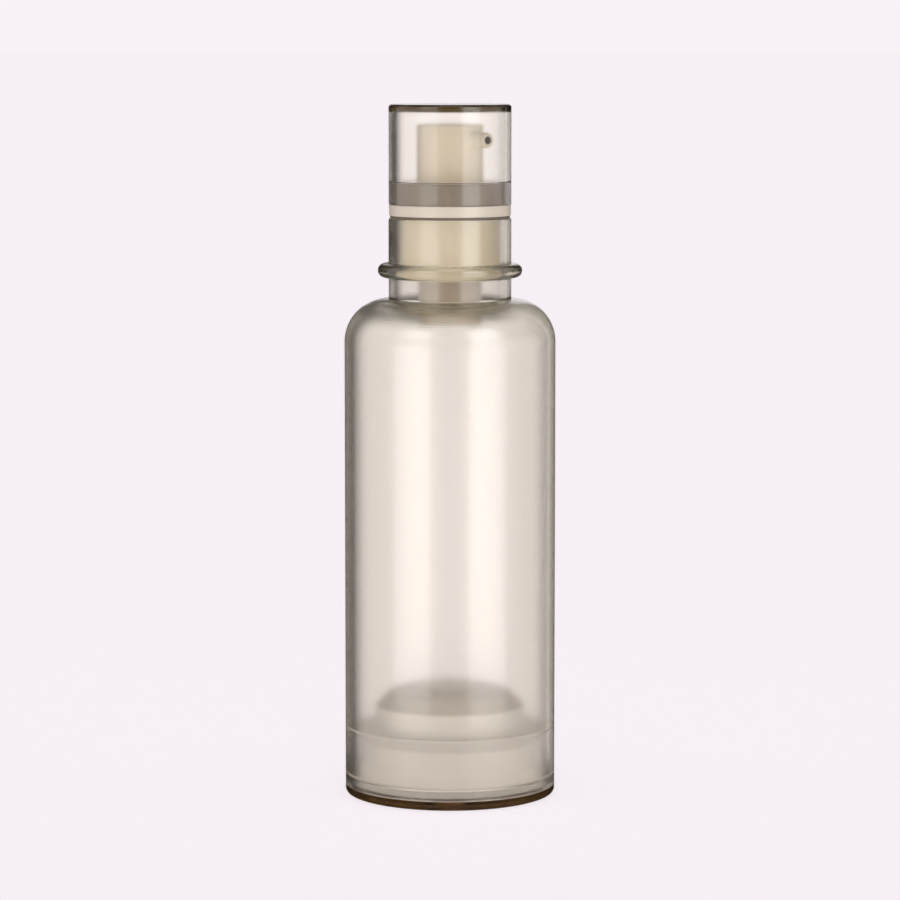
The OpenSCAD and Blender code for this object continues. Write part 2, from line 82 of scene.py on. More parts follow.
def turned(outline, steps=TURN_STEPS):
    """Turns a half section about the upright axis: corners are (radius, height, rounding) in mm."""
    bm = bmesh.new()
    corners = [bm.verts.new((r * MM, 0, z * MM)) for r, z, _ in outline]
    ends = corners[1:] + (corners[:1] if outline[0][0] > 0 else [])
    for start, end in zip(corners, ends):
        bm.edges.new((start, end))
    for corner, (_, _, rounding) in zip(corners, outline):
        if rounding:
            bmesh.ops.bevel(bm, geom=[corner], offset=rounding * MM, offset_type="OFFSET",
                            segments=round(ROUND_SEGMENTS + SEGMENTS_PER_MM * rounding),
                            profile=0.5, affect="VERTICES", material=-1)
    # Two more points near the ends of each long run keep its shading straight
    for edge in bm.edges[:]:
        start, end = edge.verts
        length = edge.calc_length() / MM
        if length > 4 * HOLDING_EDGE:
            _, near = bmesh.utils.edge_split(edge, start, HOLDING_EDGE / length)
            rest = bm.edges.get((near, end))
            bmesh.utils.edge_split(rest, end, HOLDING_EDGE / (length - HOLDING_EDGE))
    # A quarter is spun and then doubled twice, which is quicker than one full spin
    bmesh.ops.spin(bm, geom=bm.verts[:] + bm.edges[:], cent=(0, 0, 0), axis=(0, 0, 1),
                   dvec=(0, 0, 0), angle=math.pi / 2, steps=steps // 4,
                   use_merge=False, use_normal_flip=False, use_duplicate=False)
    for angle in (math.pi / 2, math.pi):
        copied = bmesh.ops.duplicate(bm, geom=bm.verts[:] + bm.edges[:] + bm.faces[:])["geom"]
        bmesh.ops.rotate(bm, cent=(0, 0, 0), matrix=Matrix.Rotation(angle, 3, "Z"),
                         verts=[g for g in copied if isinstance(g, bmesh.types.BMVert)])
        bmesh.ops.remove_doubles(bm, verts=bm.verts[:], dist=WELD)
    bmesh.ops.recalc_face_normals(bm, faces=bm.faces[:])
    return bm


def reach(node):
    """Lowest level, highest level and outer radius of a solid, in millimetres."""
    low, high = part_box(node)
    return low.z / MM, high.z / MM, high.x / MM


def linear(colour):
    """A colour written as sRGB hex, as the linear colour that a node takes."""
    parts = [int(colour[i:i + 2], 16) / 255 for i in (1, 3, 5)]
    return [p / 12.92 if p <= 0.04045 else ((p + 0.055) / 1.055) ** 2.4 for p in parts] + [1.0]


def add_node(tree, kind, settings={}, links={}):
    """Adds a node, sets its inputs or properties by name and links its inputs."""
    node = tree.nodes.new(kind)
    for name, value in settings.items():
        if isinstance(name, int) or name in node.inputs:
            node.inputs[name].default_value = value
        else:
            setattr(node, name, value)
    for name, socket in links.items():
        tree.links.new(socket, node.inputs[name])
    return node


def pattern_scale(size_mm):
    """Scale of a noise pattern whose features are about so many millimetres across."""
    return 1 / (size_mm * MM)


def new_material(name):
    """An empty node material, with the object's own coordinates to read patterns from."""
    material = bpy.data.materials.new(name)
    material.use_nodes = True
    tree = material.node_tree
    tree.nodes.clear()
    return material, tree, add_node(tree, "ShaderNodeTexCoord").outputs["Object"]


def smoke_clear(name, roughness, spread, ripple, tint_colour, density):
    """Smoke-tinted clear plastic: the wall's depth gives the tint, and the skin scatters a little."""
    material, tree, place = new_material(name)
    # Satin skin: patches of 0.4 mm shine a little more or less
    grain = add_node(tree, "ShaderNodeTexNoise", {"Scale": pattern_scale(0.4), "Detail": 2.0},
                     {"Vector": place})
    skin = add_node(tree, "ShaderNodeMapRange",
                    {"To Min": roughness - spread, "To Max": roughness + spread},
                    {"Value": grain.outputs[0]})
    # Moulding ripple: waves about 9 mm long and a few microns high
    waves = add_node(tree, "ShaderNodeTexNoise", {"Scale": pattern_scale(9.09), "Detail": 1.0},
                     {"Vector": place})
    bump = add_node(tree, "ShaderNodeBump", {"Strength": 1.0, "Distance": ripple * MM},
                    {"Height": waves.outputs[0]})
    shader = add_node(tree, "ShaderNodeBsdfPrincipled",
                      {"Base Color": linear("#fffefc"), "Transmission Weight": 1.0, "IOR": 1.51},
                      {"Roughness": skin.outputs["Result"], "Normal": bump.outputs["Normal"]})
    tint = add_node(tree, "ShaderNodeVolumeAbsorption",
                    {"Color": linear(tint_colour), "Density": density})
    add_node(tree, "ShaderNodeOutputMaterial", {},
             {"Surface": shader.outputs["BSDF"], "Volume": tint.outputs["Volume"]})
    return material


def deepen(material, share, colour):
    """Mixes a painted shade, a deeper tone, into a material's own colour, by a share that runs from 0
    to 1.
    """
    # Of a colour mix, inputs 6 and 7 are the two colours and output 2 is the mixed one
    tree = material.node_tree
    base = next(node for node in tree.nodes if node.type == "BSDF_PRINCIPLED").inputs["Base Color"]
    tint = add_node(tree, "ShaderNodeMix", {"data_type": "RGBA"})
    tree.links.new(share, tint.inputs[0])
    if base.links:
        tree.links.new(base.links[0].from_socket, tint.inputs[6])
    tint.inputs[6].default_value = base.default_value[:]
    tint.inputs[7].default_value = linear(colour)
    tree.links.new(tint.outputs[2], base)


def paint_rim_shade(material, clear_mm, deep_mm, colour):
    """Paints a darker shade on an upright rim between two levels, and leaves its flat faces clear."""
    flat, upright = 0.99, 0.9
    tree = material.node_tree
    where = add_node(tree, "ShaderNodeTexCoord")
    height = add_node(tree, "ShaderNodeSeparateXYZ", {}, {"Vector": where.outputs["Object"]})
    in_rim = add_node(tree, "ShaderNodeMapRange",
                      {"From Min": clear_mm * MM, "From Max": deep_mm * MM},
                      {"Value": height.outputs["Z"]})
    slope = add_node(tree, "ShaderNodeSeparateXYZ", {}, {"Vector": where.outputs["Normal"]})
    level = add_node(tree, "ShaderNodeMath", {"operation": "ABSOLUTE"}, {0: slope.outputs["Z"]})
    standing = add_node(tree, "ShaderNodeMapRange", {"From Min": flat, "From Max": upright},
                        {"Value": level.outputs[0]})
    share = add_node(tree, "ShaderNodeMath", {"operation": "MULTIPLY"},
                     {0: in_rim.outputs["Result"], 1: standing.outputs["Result"]})
    deepen(material, share.outputs[0], colour)


# The second colour is a painted shade for rims that the light crosses the long way
SMOKE_TINT, RIM_PAINTED_SHADE = "#d2c98f", "#7d5c3b"
foot_z, neck_top_z, body_r = reach("bottle")
# PETG, smoke-tinted and blow-moulded in a lightly blasted mould. Its satin skin softens what shows
# through the wall and spreads the highlights into long soft bands. Its foot rim gets a painted shade
satin_petg = smoke_clear("satin_smoke_petg", 0.20, 0.02, 0.004, SMOKE_TINT, 80.0)
paint_rim_shade(satin_petg, foot_z + 0.06, foot_z, RIM_PAINTED_SHADE)
shoulder_z = neck_top_z - 16.0
wall, neck_r, neck_bore_r = 2.2, 12.2, 10.3
bore_r, ceiling_z = body_r - wall, shoulder_z - wall
shoulder_round = 8.6
ring_z, ring_h, ring_r = shoulder_z + 4.2, 2.8, 14.35
ring_round = ring_h / 2 - 0.01
foot_round = 0.04
groove_z, groove_h, groove_r = shoulder_z + 4.95, 1.3, 10.65
finish_piece("bottle_wall", turned([
    (body_r, foot_z, foot_round),
    (body_r, shoulder_z, shoulder_round),
    (neck_r, shoulder_z, 0.4),
    (neck_r, ring_z, 0.2),
    (ring_r, ring_z, ring_round),
    (ring_r, ring_z + ring_h, ring_round),
    (neck_r, ring_z + ring_h, 0.2),
    (neck_r, neck_top_z, 0.3),
    (neck_bore_r, neck_top_z, 0.15),
    (neck_bore_r, groove_z + groove_h, 0.1),
    (groove_r, groove_z + groove_h, 0.15),
    (groove_r, groove_z, 0.15),
    (neck_bore_r, groove_z, 0.1),
    (neck_bore_r, ceiling_z, 0.4),
    (bore_r, ceiling_z, shoulder_round - wall),
    (bore_r, foot_z, foot_round),
]), "container", ["bottle"], satin_petg)


# Base plug
# Moulded from the same smoke PETG and snapped in from below: a flange as wide as the bottle, the ring
# that it stands on, a low spigot inside the wall and a vent, so that air can follow the follower up.
SEAT_GAP = 0.03
floor_z, plug_top_z, plug_r = reach("base_plug")
flange_z, vent_r = foot_z - SEAT_GAP, 3.2
recess_z, foot_bore_r = 0.7, 16.9
spigot_r, spigot_bore_r = 18.75, 17.35
# PETG again, injection-moulded in a smoother mould, so clearer than the bottle. Its rim, which the
# light crosses the long way, gets a painted brown shade that makes the dark band at the foot
smoke_petg = smoke_clear("smoke_petg_plug", 0.14, 0.02, 0.004, SMOKE_TINT, 70.0)
paint_rim_shade(smoke_petg, foot_z + 0.3, foot_z, RIM_PAINTED_SHADE)
finish_piece("base_plug_clear", turned([
    (vent_r, recess_z, 0.2),
    (foot_bore_r, recess_z, 0.3),
    (foot_bore_r, floor_z, 0.2),
    (plug_r, floor_z, 1.1),
    (plug_r, flange_z, foot_round),
    (spigot_r, flange_z, 0.1),
    (spigot_r, plug_top_z, 0.3),
    (spigot_bore_r, plug_top_z, 0.15),
    (spigot_bore_r, flange_z, 0.2),
    (vent_r, flange_z, 0.2),
]), "container", ["base_plug"], smoke_petg)


# Follower
# Moulded from natural polyethylene, which is milky and a little waxy: a crown shaped like a top hat, a
# hollow skirt and two thin lips that wipe the wall. It rises under the product as the bottle empties.
def moulded(name, colour, roughness, speck, scatter=0.0):
    """Moulded opaque or milky plastic: faint flow mottling in its colour, a fine skin on it."""
    material, tree, place = new_material(name)
    # Flow mottling: clouds about 5 mm across, a shade lighter or darker
    clouds = add_node(tree, "ShaderNodeTexNoise", {"Scale": pattern_scale(5.0), "Detail": 3.0},
                      {"Vector": place})
    tone = add_node(tree, "ShaderNodeMapRange",
                    {"To Min": 1.0 - speck, "To Max": 1.0 + speck},
                    {"Value": clouds.outputs[0]})
    base = add_node(tree, "ShaderNodeVectorMath", {"operation": "SCALE"},
                    {"Scale": tone.outputs["Result"]})
    base.inputs[0].default_value = linear(colour)[:3]
    # Mould skin: grains of 0.3 mm, 4 microns high, which shine a little more or less
    grain = add_node(tree, "ShaderNodeTexNoise", {"Scale": pattern_scale(0.303), "Detail": 2.0},
                     {"Vector": place})
    skin = add_node(tree, "ShaderNodeMapRange",
                    {"To Min": roughness - 0.05, "To Max": roughness + 0.05},
                    {"Value": grain.outputs[0]})
    bump = add_node(tree, "ShaderNodeBump", {"Strength": 0.4, "Distance": 0.004 * MM},
                    {"Height": grain.outputs[0]})
    shader = add_node(tree, "ShaderNodeBsdfPrincipled",
                      {"IOR": 1.50, "Subsurface Weight": scatter, "Subsurface Radius": (1.0, 0.8, 0.6),
                       "Subsurface Scale": 1.5 * MM},
                      {"Base Color": base.outputs["Vector"], "Roughness": skin.outputs["Result"],
                       "Normal": bump.outputs["Normal"]})
    add_node(tree, "ShaderNodeOutputMaterial", {}, {"Surface": shader.outputs["BSDF"]})
    return material


# Natural polyethylene, injection-moulded: milky and waxy, so its gloss is broad and its edges glow
natural_pe = moulded("natural_polyethylene", "#dfd9d7", 0.42, 0.02, scatter=0.2)
lip_z, crown_z, _ = reach("follower_piston")
crown_shade_low, crown_shade_full = crown_z - 3.4, crown_z - 2.9
# Painted shade: the crown's top and chamfer, where they face up, take a deeper tone for the shade they
# lie in
tree = natural_pe.node_tree
where = add_node(tree, "ShaderNodeTexCoord")
slope = add_node(tree, "ShaderNodeSeparateXYZ", {}, {"Vector": where.outputs["Normal"]})
upward = add_node(tree, "ShaderNodeMapRange", {"From Min": 0.25, "From Max": 0.6},
                  {"Value": slope.outputs["Z"]})
height = add_node(tree, "ShaderNodeSeparateXYZ", {}, {"Vector": where.outputs["Object"]})
on_crown = add_node(tree, "ShaderNodeMapRange",
                    {"From Min": crown_shade_low * MM, "From Max": crown_shade_full * MM},
                    {"Value": height.outputs["Z"]})
crown_shade = add_node(tree, "ShaderNodeMath", {"operation": "MULTIPLY"},
                {0: upward.outputs["Result"], 1: on_crown.outputs["Result"]})
deepen(natural_pe, crown_shade.outputs[0], "#c6bdb8")
# The lips reach the bore here, so that they show across its full width as in the photograph
lip_r = bore_r + 0.02
web_z = lip_z + 9.9
crown_r, skirt_r, shell = 14.8, 17.5, 1.2
crown_chamfer, lip_h, lip_reach = 3.0, 0.5, 2.7
recess_r, recess_depth = 7.2, 2.2
under_z, under_recess_z = crown_z - shell, crown_z - recess_depth - shell
follower = finish_piece("follower_moulded", turned([
    (0, crown_z - recess_depth, 0),
    (recess_r, crown_z - recess_depth, 0.25),
    (recess_r, crown_z, 0.3),
    (crown_r - crown_chamfer, crown_z, 1.0),
    (crown_r, crown_z - crown_chamfer, 0.3),
    (crown_r, web_z, 2.6),
    (lip_r, web_z, 0.12),
    (lip_r, web_z - lip_h, 0.1),
    (skirt_r, web_z - lip_reach, 0.3),
    (skirt_r, lip_z + lip_reach, 0.3),
    (lip_r, lip_z + lip_h, 0.1),
    (lip_r, lip_z, 0.12),
    (skirt_r - shell / 2, lip_z, 0.15),
    (skirt_r - shell, lip_z + lip_reach, 0.3),
    (skirt_r - shell, web_z - shell, 0.3),
    (crown_r - shell, web_z - shell, 0.3),
    (crown_r - shell, under_z, 1.8),
    (recess_r + shell, under_z, 0.3),
    (recess_r + shell, under_recess_z, 0.3),
    (0, under_recess_z, 0),
]), "follower", ["follower_piston"], natural_pe)


# Pump
# Chamber, guide, piston, foot and hollow stem are moulded from natural polypropylene, and hang under
# the closure where the frosted shoulder shows their lower end. The two valves are steel balls.
def smoothed(name, node, body, material):
    """A solid's own mesh, merged and shaded smooth, in place of the solid."""
    bm = bmesh.new()
    bm.from_mesh(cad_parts[node].data)
    bmesh.ops.remove_doubles(bm, verts=bm.verts[:], dist=WELD)
    return finish_piece(name, bm, body, [node], material)


# Natural polypropylene, injection-moulded: cloudy and a little glossier than the polyethylene
natural_pp = moulded("natural_polypropylene", "#bfae9a", 0.35, 0.02, scatter=0.15)
smoothed("pump_chamber_moulded", "pump_chamber", "container", natural_pp)
smoothed("stem_guide_moulded", "stem_guide", "container", natural_pp)
smoothed("pump_piston_moulded", "pump_piston", "plunger", natural_pe)
smoothed("stem_foot_moulded", "stem_foot", "plunger", natural_pp)
smoothed("stem_moulded", "stem", "plunger", natural_pp)


def steel(name, roughness, speck_mm):
    """Drawn or ground stainless steel: a grey metal with fine specks in its gloss."""
    material, tree, place = new_material(name)
    specks = add_node(tree, "ShaderNodeTexNoise", {"Scale": pattern_scale(speck_mm), "Detail": 3.0},
                      {"Vector": place})
    gloss = add_node(tree, "ShaderNodeMapRange",
                     {"To Min": roughness - 0.06, "To Max": roughness + 0.08},
                     {"Value": specks.outputs[0]})
    shader = add_node(tree, "ShaderNodeBsdfPrincipled",
                      {"Base Color": linear("#c6c3bf"), "Metallic": 1.0},
                      {"Roughness": gloss.outputs["Result"]})
    add_node(tree, "ShaderNodeOutputMaterial", {}, {"Surface": shader.outputs["BSDF"]})
    return material


# Stainless steel, ground and polished: a bright mirror with barely a grain
ball_steel = steel("ground_stainless_steel", 0.14, 0.25)
smoothed("inlet_ball_ground", "inlet_ball", "inlet_valve", ball_steel)
smoothed("outlet_ball_ground", "outlet_ball", "outlet_valve", ball_steel)


# Return spring
# Wound from 0.7 mm stainless wire round the stem, above the guide and out of the product's way. The
# end turns lie close and the middle ones are even.
WIRE_SIDES = 16
STEPS_PER_TURN = 40
wire_r, coil_r = 0.35, 3.15
turns, end_pitch = 7, 1.15
guide_collar_h, press_travel = 0.8, 4.5
spring_z = reach("stem_guide")[1] - guide_collar_h
spring_len = 12.5
wire_rise = spring_len - 2 * wire_r - 2 * SEAT_GAP
wire_start = Vector((coil_r, 0, spring_z + SEAT_GAP + wire_r)) * MM
middle_pitch = (wire_rise - 2 * end_pitch) / (turns - 2)
bm = bmesh.new()
bmesh.ops.create_circle(bm, cap_ends=False, segments=WIRE_SIDES, radius=wire_r * MM)
bmesh.ops.transform(bm, verts=bm.verts[:],
                    matrix=Matrix.Translation(wire_start) @ Matrix.Rotation(math.pi / 2, 4, "X"))
wire_end = bm.verts[:] + bm.edges[:]
first_ring = bm.edges[:]
for part_turns, pitch in ((1, end_pitch), (turns - 2, middle_pitch), (1, end_pitch)):
    steps = part_turns * STEPS_PER_TURN
    spun = bmesh.ops.spin(bm, geom=wire_end, cent=(0, 0, 0), axis=(0, 0, 1),
                          dvec=(0, 0, pitch / STEPS_PER_TURN * MM),
                          angle=2 * math.pi * part_turns, steps=steps,
                          use_merge=False, use_normal_flip=False, use_duplicate=False)
    wire_end = spun["geom_last"]
bmesh.ops.edgeloop_fill(bm, edges=first_ring)
bmesh.ops.edgeloop_fill(bm, edges=[e for e in wire_end if isinstance(e, bmesh.types.BMEdge)])
bmesh.ops.recalc_face_normals(bm, faces=bm.faces[:])
# Stainless wire, cold-drawn: the same metal with a duller, coarser skin than the ground balls
spring_steel = steel("drawn_spring_steel", 0.22, 0.667)
spring = finish_piece("return_spring_wire", bm, "container", ["return_spring"],
                      spring_steel)
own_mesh(spring)


# Gasket and closure
# The closure is moulded from cream polypropylene and snaps into the neck on a soft gasket: a skirt in
# the neck, a flange on its rim, a spigot that carries the cap, and a well that guides the push head.
gasket_low, gasket_top, gasket_r = reach("neck_gasket")
gasket_bore_r = 10.13
# Elastomer sheet, die-cut: matt and dark, so that its edge reads as one thin line
elastomer_seal = moulded("elastomer_seal", "#7b7060", 0.6, 0.03)
finish_piece("neck_gasket_ring", turned([
    (gasket_bore_r, gasket_low + SEAT_GAP, 0.1),
    (gasket_r, gasket_low + SEAT_GAP, 0.1),
    (gasket_r, gasket_top, 0.1),
    (gasket_bore_r, gasket_top, 0.1),
]), "container", ["neck_gasket"], elastomer_seal)
# Cream polypropylene, injection-moulded in a fine mould: opaque, with a soft even sheen
cream_pp = moulded("cream_polypropylene", "#ede1cc", 0.33, 0.012, scatter=0.1)
skirt_z, deck_z, closure_r = reach("closure")
collar_top_z = gasket_top + 2.2
neck_skirt_r, neck_skirt_bore_r = 10.1, 9.0
snap_r, snap_z, snap_top_z = 10.5, skirt_z + 1.2, skirt_z + 2.2
cap_spigot_r, deck_h = 10.57, 1.2
well_bore_r, well_r, well_z = 6.85, 7.75, 112.0
holding_bead_r, holding_bead_z = 8.65, 109.0
finish_piece("closure_moulded", turned([
    (neck_skirt_bore_r, skirt_z, 0.15),
    (neck_skirt_r, skirt_z, 0.3),
    (neck_skirt_r, snap_z, 0.08),
    (snap_r, snap_z, 0.35),
    (snap_r, snap_top_z, 0.35),
    (neck_skirt_r, snap_top_z, 0.08),
    (neck_skirt_r, gasket_top, 0.1),
    (closure_r, gasket_top, 0.15),
    (closure_r, collar_top_z, 0.12),
    (cap_spigot_r, collar_top_z, 0.1),
    (cap_spigot_r, deck_z, 0.3),
    (well_bore_r, deck_z, 0.3),
    (well_bore_r, well_z, 0.2),
    (well_r, well_z, 0.2),
    (well_r, deck_z - deck_h, 0.3),
    (neck_skirt_bore_r, deck_z - deck_h, 0.3),
    (neck_skirt_bore_r, holding_bead_z + 0.7, 0.1),
    (holding_bead_r, holding_bead_z + 0.5, 0.1),
    (holding_bead_r, holding_bead_z + 0.2, 0.1),
    (neck_skirt_bore_r, holding_bead_z, 0.1),
]), "container", ["closure"], cream_pp)


# Grip ring
# A band of soft taupe elastomer moulded round the spigot. It stands a little proud, so that the cap's
# counterbored lip grips it, and it shows through the lip as the bottle's one darker band.
ring_low, ring_top, grip_r = reach("cap_grip_ring")
grip_bore_r = 10.6
# Elastomer, coloured taupe and moulded over the spigot: matt, so its highlights are faint and wide
grip_elastomer = moulded("grip_elastomer", "#8f826f", 0.55, 0.02)
finish_piece("cap_grip_ring_moulded", turned([
    (grip_bore_r, ring_low, 0.1),
    (grip_r, ring_low, 0.15),
    (grip_r, ring_top, 0.3),
    (grip_bore_r, ring_top, 0.15),
]), "container", ["cap_grip_ring"], grip_elastomer)


# Actuator
# The push head is moulded from the same cream polypropylene: a thin shell with a shallow finger dish,
# a boss that grips the stem, and a flared nozzle that stands out at the right height for a fingertip.
def join_solid(bm, other, operation):
    """Cuts one closed mesh with another, or joins them, and returns the result."""
    bodies = []
    for part in (bm, other):
        mesh = bpy.data.meshes.new("part")
        part.to_mesh(mesh)
        part.free()
        body = bpy.data.objects.new("part", mesh)
        bpy.context.scene.collection.objects.link(body)
        bodies.append(body)
    modifier = bodies[0].modifiers.new("cut", "BOOLEAN")
    modifier.operation, modifier.solver, modifier.object = operation, "EXACT", bodies[1]
    result = bmesh.new()
    result.from_object(bodies[0], bpy.context.evaluated_depsgraph_get())
    for body in bodies:
        mesh = body.data
        bpy.data.objects.remove(body)
        bpy.data.meshes.remove(mesh)
    return result


def shade_channel(material, level_mm, radius_mm, colour):
    """Paints shade on the walls of a channel along -Y, for the shade that lies in its mouth."""
    wall_mm, past_wall_mm = radius_mm + 0.01, radius_mm + 0.07
    back_mm, front_mm = -0.5, -1.5
    tree = material.node_tree
    place = add_node(tree, "ShaderNodeTexCoord").outputs["Object"]
    apart = add_node(tree, "ShaderNodeVectorMath",
                     {"operation": "SUBTRACT", 1: (0, 0, level_mm * MM)}, {0: place})
    across = add_node(tree, "ShaderNodeVectorMath", {"operation": "MULTIPLY", 1: (1, 0, 1)},
                      {0: apart.outputs[0]})
    off_axis = add_node(tree, "ShaderNodeVectorMath", {"operation": "LENGTH"}, {0: across.outputs[0]})
    inside = add_node(tree, "ShaderNodeMapRange",
                      {"From Min": past_wall_mm * MM, "From Max": wall_mm * MM},
                      {"Value": off_axis.outputs["Value"]})
    forward = add_node(tree, "ShaderNodeSeparateXYZ", {}, {"Vector": place})
    in_front = add_node(tree, "ShaderNodeMapRange",
                        {"From Min": back_mm * MM, "From Max": front_mm * MM},
                        {"Value": forward.outputs["Y"]})
    share = add_node(tree, "ShaderNodeMath", {"operation": "MULTIPLY"},
                     {0: inside.outputs["Result"], 1: in_front.outputs["Result"]})
    deepen(material, share.outputs[0], colour)


head_z, head_top_z, head_r = reach("actuator")
shell_r, head_wall = head_r - 1.0, 1.2
dish, dish_r, dish_rim_r = 0.35, 2.9, 5.7
boss_r, boss_z = 3.6, 124.5
socket_r, socket_top_z, passage_r = 2.03, 129.03, 1.35
nozzle_z, nozzle_r, orifice_r = head_top_z - 3.0, 1.5, 0.75
nozzle_root, nozzle_tip = boss_r - 1.0, -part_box("actuator")[0].y / MM
flare = 1.3
flare_start = math.sqrt(head_r ** 2 - (nozzle_r + flare) ** 2)
flare_root = flare_start - 0.6
orifice_start, orifice_end = 0.7, nozzle_tip + 1
head = turned([
    (0, head_top_z - dish, 0),
    (dish_r, head_top_z - dish, 2.6),
    (dish_rim_r, head_top_z, 0.5),
    (head_r, head_top_z, 0.35),
    (head_r, head_z, 0.3),
    (shell_r, head_z, 0.15),
    (shell_r, head_top_z - head_wall, 0.3),
    (boss_r, head_top_z - head_wall, 0.2),
    (boss_r, boss_z, 0.15),
    (socket_r, boss_z, 0.1),
    (socket_r, socket_top_z, 0),
    (passage_r, socket_top_z, 0),
    (passage_r, nozzle_z + orifice_r, 0),
    (0, nozzle_z + orifice_r, 0),
])
along_nozzle = Matrix.Translation((0, 0, nozzle_z * MM)) @ Matrix.Rotation(math.pi / 2, 4, "X")
nozzle = turned([
    (0, nozzle_root, 0),
    (nozzle_r, nozzle_root, 0),
    (nozzle_r, flare_root, 0),
    (nozzle_r + flare, flare_root, 0),
    (nozzle_r + flare, flare_start, 0),
    (nozzle_r, flare_start, flare - 0.01),
    (nozzle_r, nozzle_tip, 0.3),
    (0, nozzle_tip, 0),
], steps=96)
orifice = turned([
    (0, orifice_start, 0),
    (orifice_r, orifice_start, 0),
    (orifice_r, orifice_end, 0),
    (0, orifice_end, 0),
], steps=64)
for part in (nozzle, orifice):
    bmesh.ops.transform(part, matrix=along_nozzle, verts=part.verts[:])
head = join_solid(join_solid(head, nozzle, "UNION"), orifice, "DIFFERENCE")
# Painted shade: the orifice's walls are darkened for the shade that lies down the channel
shade_channel(cream_pp, nozzle_z, orifice_r, "#57452f")
finish_piece("actuator_moulded", head, "head", ["actuator"], cream_pp)


# Cap
# Moulded from smoke-tinted clear SAN, glossier than the bottle: a flat top with an eased edge, a
# straight wall, and a lip that is bored out from inside so that it clears the grip ring.
cap_z, cap_top_z, cap_r = reach("cap")
# SAN, smoke-tinted and injection-moulded in a polished mould: clear, with a finer skin than the
# bottle's. Its top rim, which the light crosses the long way, gets a painted dark shade
clear_san = smoke_clear("clear_smoke_san", 0.17, 0.01, 0.002, SMOKE_TINT, 70.0)
paint_rim_shade(clear_san, cap_top_z - 1.5, cap_top_z - 1.1, "#695a40")
lip_bore_r, lip_step_z = 11.65, 122.7
cap_bore_r, cap_roof = 10.6, 1.3
finish_piece("cap_clear", turned([
    (0, cap_top_z, 0),
    (cap_r, cap_top_z, 0.7),
    (cap_r, cap_z + SEAT_GAP, 0.15),
    (lip_bore_r, cap_z + SEAT_GAP, 0.1),
    (lip_bore_r, lip_step_z, 0.1),
    (cap_bore_r, lip_step_z, 0.15),
    (cap_bore_r, cap_top_z - cap_roof, 0.3),
    (0, cap_top_z - cap_roof, 0),
]), "cap", ["cap"], clear_san)


# Studio
# A pale floor and room of one colour, soft strips of light in front, a back light and a top light,
# and black cards that only the plastics see, which give the clear walls their dark edges. The camera
# stands where the photograph's stood.
ROOM_COLOUR = linear("#f8f2f7")
ROOM_ON_MATT = 0.36
FLOOR_SIZE, FLOOR_OWN = 40.0, 0.82
CARD_LIFT, NEAR_CARD, UNDER_CARD_R = 0.0003, 0.1, 0.045
HIGHEST_AIM = 0.2
CAMERA_TURN = math.radians(-45)
camera_distance, camera_height, camera_pitch = 0.73323, 0.15019, math.radians(6.307)
camera_lens = 147.70
toward_camera = Vector((math.sin(CAMERA_TURN), -math.cos(CAMERA_TURN), 0))
to_the_right = Vector((math.cos(CAMERA_TURN), math.sin(CAMERA_TURN), 0))
UP = Vector((0, 0, 1))


def round_object(degrees, distance, height):
    """A place round the object: the angle runs from the camera's side towards the camera's right."""
    angle = math.radians(degrees)
    return distance * (math.cos(angle) * toward_camera + math.sin(angle) * to_the_right) + height * UP


def facing(place, target):
    """Matrix of something at place that looks at target along its -Z."""
    return Matrix.LocRotScale(place, (target - place).to_track_quat("-Z", "Y"), None)


scene = bpy.context.scene
scene.view_settings.view_transform = "Standard"
scene.cycles.max_bounces = 32
scene.cycles.transmission_bounces = 32

# The room shows at full brightness, and lights matt surfaces with a part of it
world = bpy.data.worlds.new("pale_room")
world.use_nodes = True
tree = world.node_tree
tree.nodes.clear()
rays = add_node(tree, "ShaderNodeLightPath")
seen = add_node(tree, "ShaderNodeMath", {"operation": "MAXIMUM"},
                {0: rays.outputs["Is Camera Ray"], 1: rays.outputs["Is Glossy Ray"]})
seen = add_node(tree, "ShaderNodeMath", {"operation": "MAXIMUM"},
                {0: seen.outputs[0], 1: rays.outputs["Is Transmission Ray"]})
strength = add_node(tree, "ShaderNodeMapRange", {"To Min": ROOM_ON_MATT, "To Max": 1.0},
                    {"Value": seen.outputs[0]})
room = add_node(tree, "ShaderNodeBackground", {"Color": ROOM_COLOUR},
                {"Strength": strength.outputs["Result"]})
add_node(tree, "ShaderNodeOutputWorld", {}, {"Surface": room.outputs["Background"]})
scene.world = world

# Matt backdrop paper. Most of its brightness is its own, so that it meets the room without an edge
# and the shadow on it is faint
floor_material, tree, _ = new_material("pale_floor")
paper_colour = [c * (1 - FLOOR_OWN) / ROOM_ON_MATT for c in ROOM_COLOUR[:3]] + [1.0]
paper = add_node(tree, "ShaderNodeBsdfDiffuse", {"Color": paper_colour})
glow = add_node(tree, "ShaderNodeEmission", {"Color": ROOM_COLOUR, "Strength": FLOOR_OWN})
both = add_node(tree, "ShaderNodeAddShader", {},
                {0: paper.outputs["BSDF"], 1: glow.outputs["Emission"]})
add_node(tree, "ShaderNodeOutputMaterial", {}, {"Surface": both.outputs["Shader"]})
bm = bmesh.new()
bmesh.ops.create_grid(bm, x_segments=1, y_segments=1, size=FLOOR_SIZE)
mesh = bpy.data.meshes.new("floor")
bm.to_mesh(mesh)
bm.free()
mesh.materials.append(floor_material)
floor = bpy.data.objects.new("floor", mesh)
scene.collection.objects.link(floor)

# Matt black card: it swallows the light, so the plastics show it as a dark line
card_material, tree, _ = new_material("black_card")
black = add_node(tree, "ShaderNodeBsdfDiffuse", {"Color": linear("#1c1a18")})
add_node(tree, "ShaderNodeOutputMaterial", {}, {"Surface": black.outputs["BSDF"]})


def black_card(name, bm, through):
    """A card that only the plastics see: in their gloss and, if through, through their walls."""
    mesh = bpy.data.meshes.new(name)
    bm.to_mesh(mesh)
    bm.free()
    mesh.materials.append(card_material)
    card = bpy.data.objects.new(name, mesh)
    scene.collection.objects.link(card)
    card.visible_camera = card.visible_diffuse = card.visible_shadow = False
    card.visible_transmission = through


